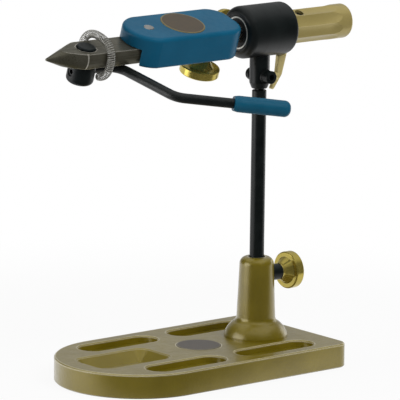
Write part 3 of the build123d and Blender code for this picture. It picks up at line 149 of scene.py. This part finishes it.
class Finish:
    """A material on the Principled shader, with short helpers for its procedural detail."""

    def __init__(self, name):
        self.material = bpy.data.materials.new(name)
        self.material.use_nodes = True
        self.tree = self.material.node_tree
        self.shader = self.tree.nodes["Principled BSDF"]
        self.place = self.add("ShaderNodeTexCoord").outputs["Object"]

    def add(self, kind, **settings):
        node = self.tree.nodes.new(kind)
        for key, value in settings.items():
            setattr(node, key, value)
        return node

    def feed(self, socket, value):
        """Links an output to a socket, or writes a plain value on it."""
        if isinstance(value, bpy.types.NodeSocket):
            self.tree.links.new(value, socket)
        else:
            socket.default_value = value

    def shade(self, **values):
        """Sets shader inputs by name, with underscores for spaces."""
        for key, value in values.items():
            self.feed(self.shader.inputs[key.replace("_", " ").title().replace("Ior", "IOR")], value)

    def stretched(self, scale, turn=0.0):
        """Object coordinates scaled along each axis, after a roll about X."""
        rolled = self.add("ShaderNodeMapping", vector_type="TEXTURE")
        rolled.inputs["Rotation"].default_value = (math.radians(turn), 0, 0)
        self.feed(rolled.inputs["Vector"], self.place)
        mapping = self.add("ShaderNodeMapping")
        mapping.inputs["Scale"].default_value = scale
        self.feed(mapping.inputs["Vector"], rolled.outputs["Vector"])
        return mapping.outputs["Vector"]

    def axis(self, letter):
        """One of the object coordinates."""
        parts = self.add("ShaderNodeSeparateXYZ")
        self.feed(parts.inputs["Vector"], self.place)
        return parts.outputs[letter]

    def noise(self, scale, detail=3.0, vector=None):
        node = self.add("ShaderNodeTexNoise")
        node.inputs["Scale"].default_value = scale
        node.inputs["Detail"].default_value = detail
        self.feed(node.inputs["Vector"], vector or self.place)
        return node.outputs["Fac"]

    def ramp(self, factor, stops):
        node = self.add("ShaderNodeValToRGB")
        elements = node.color_ramp.elements
        while len(elements) < len(stops):
            elements.new(1.0)
        for element, (position, colour) in zip(elements, stops):
            element.position = position
            element.color = (*colour, 1.0)
        self.feed(node.inputs["Fac"], factor)
        return node.outputs["Color"]

    def span(self, factor, low, high, start=0.3, end=0.7):
        """Maps a factor smoothly from start and end onto low and high."""
        node = self.add("ShaderNodeMapRange", interpolation_type="SMOOTHSTEP")
        node.inputs["From Min"].default_value = start
        node.inputs["From Max"].default_value = end
        node.inputs["To Min"].default_value = low
        node.inputs["To Max"].default_value = high
        self.feed(node.inputs["Value"], factor)
        return node.outputs["Result"]

    def combine(self, operation, first, second=0.0):
        node = self.add("ShaderNodeMath", operation=operation)
        self.feed(node.inputs[0], first)
        self.feed(node.inputs[1], second)
        return node.outputs["Value"]

    def vector_math(self, operation, first, second=None):
        node = self.add("ShaderNodeVectorMath", operation=operation)
        self.feed(node.inputs[0], first)
        if second is not None:
            self.feed(node.inputs[1], second)
        return node

    def mix(self, factor, first, second):
        node = self.add("ShaderNodeMix", data_type="RGBA")
        self.feed(node.inputs[MIX_FACTOR], factor)
        for place, colour in ((MIX_FIRST_COLOUR, first), (MIX_SECOND_COLOUR, second)):
            self.feed(node.inputs[place], (*colour, 1.0) if isinstance(colour, tuple) else colour)
        return node.outputs[MIX_COLOUR_RESULT]

    def edges(self, radius, start, end):
        """About 1 on edges rounder than the radius and 0 on open faces."""
        bevel = self.add("ShaderNodeBevel", samples=8)
        bevel.inputs["Radius"].default_value = radius
        true_normal = self.add("ShaderNodeNewGeometry").outputs["Normal"]
        agreement = self.vector_math("DOT_PRODUCT", bevel.outputs["Normal"], true_normal).outputs["Value"]
        return self.span(agreement, 1.0, 0.0, start, end)

    def bump(self, height, strength, distance):
        node = self.add("ShaderNodeBump")
        node.inputs["Strength"].default_value = strength
        node.inputs["Distance"].default_value = distance
        self.feed(node.inputs["Height"], height)
        normal = self.shader.inputs["Normal"]
        if normal.is_linked:
            self.feed(node.inputs["Normal"], normal.links[0].from_socket)
        self.feed(normal, node.outputs["Normal"])


def bronze(name, rubbed_highlight_from, rubbed_highlight_above):
    """Satin antique bronze with a cast grain, a cloudy patina and edges above a height paled as rubbed wear
    and as a painted highlight.
    """
    finish = Finish(name)
    cloud = finish.noise(28.0, 5.0)
    patina = finish.ramp(cloud, [(0.36, (0.2, 0.15, 0.003)), (0.62, (0.25, 0.19, 0.008))])
    high = finish.span(finish.axis("Z"), 0.0, 1.0, rubbed_highlight_from, rubbed_highlight_above)
    # Edges above a height are paled as rubbed wear and as a painted highlight along the rim.
    edges = finish.combine("MULTIPLY", finish.edges(0.0018, 0.94, 0.999), high)
    rubbed_and_highlit = finish.mix(edges, patina, (0.7, 0.63, 0.42))
    finish.shade(base_color=rubbed_and_highlit, metallic=0.35, specular_ior_level=0.2)
    finish.shade(roughness=finish.span(finish.noise(160.0, 4.0), 0.28, 0.38))
    finish.shade(coat_weight=1.0, coat_roughness=0.26, coat_ior=1.7)
    finish.bump(finish.noise(650.0, 4.0), 0.5, 0.0004)
    finish.bump(finish.noise(1500.0, 3.0), 0.14, 0.0002)
    return finish.material


def brass(name, pale, deep):
    """Satin machined brass with fine marks along the piece, and edges paled as a painted highlight."""
    finish = Finish(name)
    marks = finish.noise(1.0, 3.0, finish.stretched((40.0, 1800.0, 1800.0)))
    tone = finish.ramp(finish.noise(60.0, 3.0), [(0.3, deep), (0.7, pale)])
    # Edges are paled towards a light brass as a painted highlight.
    highlit = finish.mix(finish.edges(0.0006, 0.85, 0.99), tone, (0.6, 0.52, 0.28))
    finish.shade(base_color=highlit, metallic=0.35)
    finish.shade(roughness=finish.span(marks, 0.28, 0.32))
    finish.bump(marks, 0.004, 0.0001)
    return finish.material


def polished_brass(name, scale, turn=0.0):
    """Polished brass with very fine turning marks across the given axis, and edges paled as a painted
    highlight.
    """
    finish = Finish(name)
    marks = finish.noise(1.0, 3.0, finish.stretched(scale, turn))
    tone = finish.ramp(finish.noise(60.0, 3.0), [(0.3, (0.49, 0.39, 0.08)), (0.7, (0.58, 0.47, 0.11))])
    # Edges are paled towards a light brass as a painted highlight.
    highlit = finish.mix(finish.edges(0.0006, 0.85, 0.99), tone, (0.75, 0.66, 0.36))
    finish.shade(base_color=highlit, metallic=0.75)
    finish.shade(roughness=finish.span(marks, 0.15, 0.2))
    finish.bump(marks, 0.004, 0.0001)
    return finish.material


def black_steel(name, roughness, gloss, wear, stretch):
    """Black-oxide steel with a faint drawn grain and edges worn to a paler level."""
    finish = Finish(name)
    grain = finish.noise(1.0, 3.0, finish.stretched(stretch))
    tone = finish.ramp(finish.noise(90.0, 4.0), [(0.35, (0.003, 0.005, 0.005)), (0.7, (0.008, 0.011, 0.011))])
    pale_edged = finish.mix(finish.edges(0.0006, 0.85, 0.99), tone, (wear, wear, wear))
    finish.shade(base_color=pale_edged, specular_ior_level=gloss)
    finish.shade(roughness=finish.span(grain, roughness - 0.06, roughness + 0.06))
    finish.bump(grain, 0.08, 0.0001)
    return finish.material


def blue_coat():
    """Satin blue coating with a fine orange-peel skin and slightly thin edges."""
    finish = Finish("blue_coat")
    tone = finish.ramp(finish.noise(40.0, 4.0), [(0.3, (0.002, 0.08, 0.155)), (0.7, (0.004, 0.098, 0.185))])
    thin = finish.mix(finish.edges(0.0012, 0.9, 0.995), tone, (0.01, 0.12, 0.21))
    finish.shade(base_color=thin, specular_ior_level=0.2)
    finish.shade(roughness=finish.span(finish.noise(300.0, 3.0), 0.3, 0.38))
    finish.bump(finish.noise(2200.0, 2.0), 0.1, 0.0001)
    return finish.material


def blue_grip():
    """Dipped vinyl grip: soft gloss over a slightly wavy skin."""
    finish = Finish("blue_grip")
    tone = finish.ramp(finish.noise(50.0, 3.0), [(0.3, (0.002, 0.068, 0.125)), (0.7, (0.004, 0.085, 0.15))])
    finish.shade(base_color=tone, roughness=finish.span(finish.noise(220.0, 3.0), 0.3, 0.42))
    finish.shade(specular_ior_level=0.25)
    finish.bump(finish.noise(180.0, 2.0), 0.12, 0.0004)
    return finish.material


def jaw_steel():
    """Dark hardened steel with lengthwise grinding marks, a warm burnish, and edges paled as wear and as a
    painted highlight.
    """
    finish = Finish("jaw_steel")
    marks = finish.noise(1.0, 4.0, finish.stretched((60.0, 2600.0, 2600.0)))
    tone = finish.ramp(finish.noise(70.0, 4.0), [(0.3, (0.085, 0.08, 0.054)), (0.7, (0.14, 0.133, 0.102))])
    across = finish.vector_math("DOT_PRODUCT", finish.place, head_across).outputs["Value"]
    offset = finish.combine("ABSOLUTE", finish.combine("SUBTRACT", across, ROTARY_AXIS_Z * head_across.z))
    off_split = finish.span(offset, 0.0, 1.0, JAW_SPLIT_START, JAW_SPLIT_END)
    from_crease = finish.combine("ABSOLUTE", finish.combine("SUBTRACT", finish.axis("X"), JAW_CREASE_X))
    crease_highlight = finish.span(from_crease, 1.0, 0.0, JAW_CREASE_HIGHLIGHT_START, JAW_CREASE_HIGHLIGHT_END)
    on_side = finish.span(offset, 0.0, 1.0, JAW_SIDE_START, JAW_SIDE_END)
    # Edges away from the split are paled as wear and as a painted highlight; the thin line at the cone's
    # crease on the sides is a painted highlight.
    edges = finish.combine("MULTIPLY", finish.edges(0.0012, 0.88, 0.998), off_split)
    edges = finish.combine("MAXIMUM", edges, finish.combine("MULTIPLY", crease_highlight, on_side))
    pale_edged = finish.mix(edges, tone, (0.66, 0.63, 0.55))
    finish.shade(base_color=pale_edged, metallic=0.65, specular_ior_level=0.25)
    finish.shade(roughness=finish.span(marks, 0.26, 0.34))
    finish.bump(marks, 0.012, 0.0001)
    return finish.material


def bright_steel():
    """Plain bright steel with light marks."""
    finish = Finish("bright_steel")
    tone = finish.ramp(finish.noise(120.0, 3.0), [(0.3, (0.42, 0.42, 0.4)), (0.7, (0.58, 0.58, 0.56))])
    finish.shade(base_color=tone, metallic=1.0)
    finish.shade(roughness=finish.span(finish.noise(900.0, 2.0), 0.22, 0.34))
    finish.bump(finish.noise(1600.0, 2.0), 0.05, 0.0001)
    return finish.material


def shaded_race_steel():
    """Ground steel darkened as painted shade, with one painted highlight ring on the face of the outer race.
    """
    finish = Finish("shaded_race_steel")
    across = finish.vector_math("MULTIPLY", finish.place, (0.0, 1.0, 1.0)).outputs["Vector"]
    from_axis = finish.vector_math("DISTANCE", across, (0.0, 0.0, ROTARY_AXIS_Z)).outputs["Value"]
    # The pale ring on the outer race's face is a painted highlight, and the dark tone round it is painted
    # shade.
    inner = finish.span(from_axis, 0.0, 1.0, RACE_HIGHLIGHT_INSIDE - RACE_BLEND, RACE_HIGHLIGHT_INSIDE)
    outer = finish.span(from_axis, 1.0, 0.0, RACE_HIGHLIGHT_OUTSIDE, RACE_HIGHLIGHT_OUTSIDE + RACE_BLEND)
    tone = finish.ramp(finish.noise(500.0, 3.0), [(0.3, (0.02, 0.02, 0.019)), (0.7, (0.04, 0.04, 0.038))])
    highlit = finish.mix(finish.combine("MULTIPLY", inner, outer), tone, (0.95, 0.94, 0.86))
    finish.shade(base_color=highlit, metallic=0.3)
    finish.shade(roughness=finish.span(finish.noise(900.0, 2.0), 0.3, 0.4))
    return finish.material


def seal_rubber():
    """Matt black rubber with a fine moulded skin."""
    finish = Finish("seal_rubber")
    tone = finish.ramp(finish.noise(700.0, 3.0), [(0.3, (0.006, 0.006, 0.006)), (0.7, (0.014, 0.014, 0.014))])
    finish.shade(base_color=tone, roughness=finish.span(finish.noise(900.0, 2.0), 0.5, 0.65))
    finish.bump(finish.noise(1800.0, 2.0), 0.1, 0.0001)
    return finish.material


def spring_wire():
    """Drawn spring wire, a little darker than the bright steel."""
    finish = Finish("spring_wire")
    tone = finish.ramp(finish.noise(400.0, 3.0), [(0.3, (0.5, 0.49, 0.45)), (0.7, (0.62, 0.61, 0.57))])
    finish.shade(base_color=tone, metallic=0.7)
    finish.shade(roughness=finish.span(finish.noise(900.0, 2.0), 0.3, 0.4))
    return finish.material


def disc_metal(name, centre, field, rim):
    """Bare dull inlay with a thin rim, worked out from the distance to its centre."""
    finish = Finish(name)
    from_centre = finish.vector_math("DISTANCE", finish.place, tuple(centre)).outputs["Value"]
    rim_start = DISC_RADIUS - DISC_RIM
    edge = finish.span(from_centre, 0.0, 1.0, rim_start, rim_start + DISC_RIM_BLEND)
    cloud = finish.noise(240.0, 5.0)
    dull = finish.ramp(cloud, [(0.35, tuple(DISC_DULL_SHARE * level for level in field)), (0.65, field)])
    finish.shade(base_color=finish.mix(edge, dull, rim), metallic=0.9)
    finish.shade(roughness=finish.span(cloud, 0.42, 0.56))
    finish.bump(finish.noise(900.0, 3.0), 0.12, 0.0002)
    return finish.material


base_bronze = bronze("base_bronze", BASE_RUBBED_HIGHLIGHT_FROM, BASE_RUBBED_HIGHLIGHT_ABOVE)
post_bronze = bronze("post_bronze", POST_RUBBED_HIGHLIGHT_FROM, POST_RUBBED_HIGHLIGHT_ABOVE)
satin_brass = brass("satin_brass", (0.42, 0.34, 0.125), (0.38, 0.305, 0.105))
# The lock lever's brass is a lighter copy of the satin brass: painted light for the light that falls on the
# lever.
lit_lever_brass = brass("lit_lever_brass", (0.72, 0.6, 0.27), (0.64, 0.53, 0.22))
knob_brass_x = polished_brass("brass_turned_x", (9000.0, 40.0, 40.0))
knob_brass_y = polished_brass("brass_turned_y", (40.0, 9000.0, 40.0))
knob_brass_head = polished_brass("brass_turned_head", (40.0, 40.0, 9000.0), HEAD_ROLL)
black_drawn_z = black_steel("black_steel_drawn", 0.34, 0.3, 0.015, (900.0, 900.0, 30.0))
black_turned = black_steel("black_steel_turned", 0.4, 0.45, 0.008, (2400.0, 60.0, 60.0))
black_rod = black_steel("black_steel_rod", 0.42, 0.55, 0.03, (30.0, 900.0, 900.0))
black_plain = black_steel("black_steel_plain", 0.36, 0.25, 0.02, (500.0, 500.0, 500.0))
blue_finish = blue_coat()
grip_finish = blue_grip()
jaw_finish = jaw_steel()
steel_finish = bright_steel()
race_finish = shaded_race_steel()
seal_finish = seal_rubber()
wire_finish = spring_wire()
base_disc_finish = disc_metal("base_inlay", BASE_DISC_CENTRE, (0.27, 0.245, 0.22), (0.34, 0.31, 0.24))
head_disc_finish = disc_metal(
    "head_inlay", head_point(HEAD_DISC_X, 0, HEAD_DISC_HEIGHT), (0.22, 0.182, 0.135), (0.4, 0.33, 0.17)
)

finishes = {
    "base_plate": base_bronze,
    "stem_post": post_bronze,
    "base_disc": base_disc_finish,
    "head_disc": head_disc_finish,
    "post_screws": black_plain,
    "stem_clamp_stud": black_plain,
    "stem_clamp_knob": knob_brass_x,
    "stem": black_drawn_z,
    "bearing_housing": black_turned,
    "yoke": black_drawn_z,
    "tilt_bolt": black_plain,
    "tilt_washers": black_plain,
    "tilt_nut": black_plain,
    "outer_races": race_finish,
    "inner_races": race_finish,
    "bearing_seals": seal_finish,
    "bearing_balls": steel_finish,
    "brake_plug": satin_brass,
    "brake_stud": steel_finish,
    "brake_knob": knob_brass_y,
    "lock_lever": lit_lever_brass,
    "lock_stud": steel_finish,
    "rotary_shaft": steel_finish,
    "front_spacer": steel_finish,
    "handle": satin_brass,
    "handle_screw": black_plain,
    "head_body": blue_finish,
    "head_clamp_stud": steel_finish,
    "head_clamp_knob": knob_brass_head,
    "jaw_pin": steel_finish,
    "near_jaw": jaw_finish,
    "far_jaw": jaw_finish,
    "jaw_spring": steel_finish,
    "material_spring": wire_finish,
    "cam": black_plain,
    "cam_hub": black_plain,
    "hub_screw": black_plain,
    "lever_rod": black_rod,
    "lever_grip": grip_finish,
}
for name, material in finishes.items():
    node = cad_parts[name]
    node.data.materials.clear()
    node.data.materials.append(material)


def ring_point(turn):
    """Point on the spring's wire, and its way out from the coil's middle; both ends close in."""
    sweep_angle = math.radians(360 - RING_NEAR_END_ANGLE - RING_FAR_END_ANGLE)
    inside = min(max(turn, 0), RING_TURNS)
    round_angle = math.radians(RING_NEAR_END_ANGLE) + sweep_angle * inside / RING_TURNS
    closing = abs(turn - inside) / RING_CLOSING_TURNS
    coil_radius = RING_COIL_RADIUS + (RING_CLOSED_RADIUS - RING_COIL_RADIUS) * closing
    coil_angle = 2 * math.pi * turn
    yaw = math.radians(RING_YAW)
    across = Vector((-math.sin(yaw), 0, 0)) + head_across * math.cos(yaw)
    along = Vector((math.cos(yaw), 0, 0)) + head_across * math.sin(yaw)
    outward = across * -math.sin(round_angle) - head_up * math.cos(round_angle)
    spoke = outward * math.cos(coil_angle) + along * math.sin(coil_angle)
    side_share = abs(math.sin(round_angle)) / RING_ACROSS
    up_share = abs(math.cos(round_angle)) / RING_UP
    ring_radius = (side_share**RING_SQUARENESS + up_share**RING_SQUARENESS) ** (-1 / RING_SQUARENESS)
    middle = head_point(RING_X, 0, RING_CENTRE_HEIGHT) + outward * ring_radius
    return middle + spoke * coil_radius, spoke


def ring_half(name, first_turn, last_turn, side):
    """Half of the close-wound ring round the jaws; the ring is split at its middle, where it gives as the jaw
    opens.
    """
    first = first_turn * RING_STEPS_PER_TURN
    last = last_turn * RING_STEPS_PER_TURN
    points = [ring_point(step / RING_STEPS_PER_TURN) for step in range(first, last + 1)]
    vertices = []
    faces = []
    for index, (point, spoke) in enumerate(points):
        ahead = points[min(index + 1, len(points) - 1)][0] - points[max(index - 1, 0)][0]
        side = ahead.cross(spoke).normalized()
        for corner in range(RING_WIRE_SIDES):
            angle = 2 * math.pi * corner / RING_WIRE_SIDES
            vertices.append(point + (spoke * math.cos(angle) + side * math.sin(angle)) * RING_WIRE)
    for index in range(len(points) - 1):
        for corner in range(RING_WIRE_SIDES):
            after = (corner + 1) % RING_WIRE_SIDES
            near, far = index * RING_WIRE_SIDES, (index + 1) * RING_WIRE_SIDES
            faces.append((near + corner, near + after, far + after, far + corner))
    faces.append(tuple(reversed(range(RING_WIRE_SIDES))))
    faces.append(tuple(len(vertices) - RING_WIRE_SIDES + corner for corner in range(RING_WIRE_SIDES)))
    mesh = bpy.data.meshes.new(name)
    mesh.from_pydata(vertices, [], faces)
    mesh.shade_smooth()
    piece = bpy.data.objects.new(name, mesh)
    bpy.context.scene.collection.objects.link(piece)
    mesh.materials.append(wire_finish)
    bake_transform(piece)
    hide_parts("material_spring")


ring_half("wound_spring_near", -RING_CLOSING_TURNS, RING_PARTING_TURN, -1)
ring_half("wound_spring_far", RING_PARTING_TURN, RING_TURNS + RING_CLOSING_TURNS, 1)


def floor():
    """Pale floor that keeps a soft shadow near the object and turns white away from it."""
    half = FLOOR_SIZE / 2
    mesh = bpy.data.meshes.new("floor")
    corners = [(-half, -half, 0), (half, -half, 0), (half, half, 0), (-half, half, 0)]
    mesh.from_pydata(corners, [], [(0, 1, 2, 3)])
    plane = bpy.data.objects.new("floor", mesh)
    bpy.context.scene.collection.objects.link(plane)
    finish = Finish("floor")
    finish.shade(base_color=FLOOR_COLOUR, roughness=1.0, specular_ior_level=0.0)
    rays = finish.add("ShaderNodeLightPath")
    front = towards(SWEEP_FRONT_AZIMUTH, 0.0)
    forward = finish.vector_math("DOT_PRODUCT", finish.place, front).outputs["Value"]
    dim = finish.span(forward, 0.0, 1.0 - SWEEP_FRONT_LEVEL, SWEEP_FRONT_START, SWEEP_FRONT_END)
    white = finish.add("ShaderNodeEmission")
    white.inputs["Color"].default_value = (1.0, 1.0, 1.0, 1.0)
    dim = finish.combine("MULTIPLY", dim, rays.outputs["Is Glossy Ray"])
    finish.feed(white.inputs["Strength"], finish.combine("SUBTRACT", 1.0, dim))
    middle = (STUDIO_CENTRE[0], STUDIO_CENTRE[1], 0.0)
    from_object = finish.vector_math("DISTANCE", finish.place, middle).outputs["Value"]
    share = finish.span(from_object, FLOOR_LEAST_WHITE, 1.0, FLOOR_WHITE_START, FLOOR_WHITE_END)
    seen = finish.combine("MAXIMUM", rays.outputs["Is Camera Ray"], rays.outputs["Is Glossy Ray"])
    seen = finish.combine("MAXIMUM", seen, rays.outputs["Is Transmission Ray"])
    blend = finish.add("ShaderNodeMixShader")
    finish.feed(blend.inputs[0], finish.combine("MULTIPLY", share, seen))
    finish.feed(blend.inputs[1], finish.shader.outputs["BSDF"])
    finish.feed(blend.inputs[2], white.outputs["Emission"])
    finish.feed(finish.tree.nodes["Material Output"].inputs["Surface"], blend.outputs["Shader"])
    mesh.materials.append(finish.material)


def lamp(name, azimuth, elevation, distance, width, height, power, reflected):
    """Soft panel lamp that looks at the middle of the object."""
    light = bpy.data.lights.new(name, "AREA")
    light.shape = "RECTANGLE"
    light.size = width
    light.size_y = height
    light.energy = power
    piece = bpy.data.objects.new(name, light)
    bpy.context.scene.collection.objects.link(piece)
    piece.visible_camera = False
    piece.visible_glossy = reflected
    away = towards(azimuth, elevation)
    piece.location = Vector(STUDIO_CENTRE) + away * distance
    piece.rotation_mode = "QUATERNION"
    piece.rotation_quaternion = away.to_track_quat("Z", "Y")


def sky():
    """White to look at; metal reflects soft panels round the object, and the rest is lit at a plain level."""
    world = bpy.data.worlds.new("studio")
    bpy.context.scene.world = world
    world.use_nodes = True
    tree = world.node_tree

    def add(kind, **settings):
        node = tree.nodes.new(kind)
        for key, value in settings.items():
            setattr(node, key, value)
        return node

    def span(value, start, end, low, high):
        node = add("ShaderNodeMapRange", interpolation_type="SMOOTHSTEP")
        for key, number in (("From Min", start), ("From Max", end), ("To Min", low), ("To Max", high)):
            node.inputs[key].default_value = number
        tree.links.new(value, node.inputs["Value"])
        return node.outputs["Result"]

    def join(operation, first, second):
        node = add("ShaderNodeMath", operation=operation)
        tree.links.new(first, node.inputs[0])
        tree.links.new(second, node.inputs[1])
        return node.outputs["Value"]

    direction = add("ShaderNodeTexCoord").outputs["Generated"]
    parts = add("ShaderNodeSeparateXYZ")
    tree.links.new(direction, parts.inputs["Vector"])
    level = span(parts.outputs["Z"], WORLD_FADE_START, WORLD_FADE_END, WORLD_HORIZON, WORLD_ZENITH)
    for azimuth, elevation, inner, outer, strength in PANELS:
        nearness = add("ShaderNodeVectorMath", operation="DOT_PRODUCT")
        tree.links.new(direction, nearness.inputs[0])
        nearness.inputs[1].default_value = towards(azimuth, elevation)
        edges = (math.cos(math.radians(outer)), math.cos(math.radians(inner)))
        level = join("ADD", level, span(nearness.outputs["Value"], *edges, 0.0, strength))
    rays = add("ShaderNodeLightPath")
    lit = add("ShaderNodeMix")
    lit.inputs["A"].default_value = WORLD_DIFFUSE
    tree.links.new(rays.outputs["Is Glossy Ray"], lit.inputs["Factor"])
    tree.links.new(level, lit.inputs["B"])
    shown = add("ShaderNodeMix")
    shown.inputs["B"].default_value = WORLD_WHITE
    seen = join("MAXIMUM", rays.outputs["Is Camera Ray"], rays.outputs["Is Transmission Ray"])
    tree.links.new(seen, shown.inputs["Factor"])
    tree.links.new(lit.outputs["Result"], shown.inputs["A"])
    background = tree.nodes["Background"]
    background.inputs["Color"].default_value = (1.0, 1.0, 1.0, 1.0)
    tree.links.new(shown.outputs["Result"], background.inputs["Strength"])


def camera():
    """Long-lens camera at the photograph's viewing angle."""
    data = bpy.data.cameras.new("camera")
    data.lens = CAMERA_LENS
    data.sensor_width = CAMERA_SENSOR
    data.clip_end = FLOOR_SIZE
    turn, roll = math.radians(CAMERA_AZIMUTH), math.radians(CAMERA_ROLL)
    back = towards(CAMERA_AZIMUTH, CAMERA_ELEVATION)
    level_right = Vector((math.cos(turn), math.sin(turn), 0))
    level_up = back.cross(level_right)
    right = level_right * math.cos(roll) + level_up * math.sin(roll)
    up = level_up * math.cos(roll) - level_right * math.sin(roll)
    piece = bpy.data.objects.new("camera", data)
    bpy.context.scene.collection.objects.link(piece)
    pose = Matrix((right, up, back)).transposed().to_4x4()
    pose.translation = Vector(CAMERA_AIM) + back * CAMERA_DISTANCE
    piece.matrix_world = pose
    bpy.context.scene.camera = piece


floor()
for settings in LAMPS:
    lamp(*settings)
sky()
camera()
bpy.context.scene.view_settings.view_transform = "Standard"
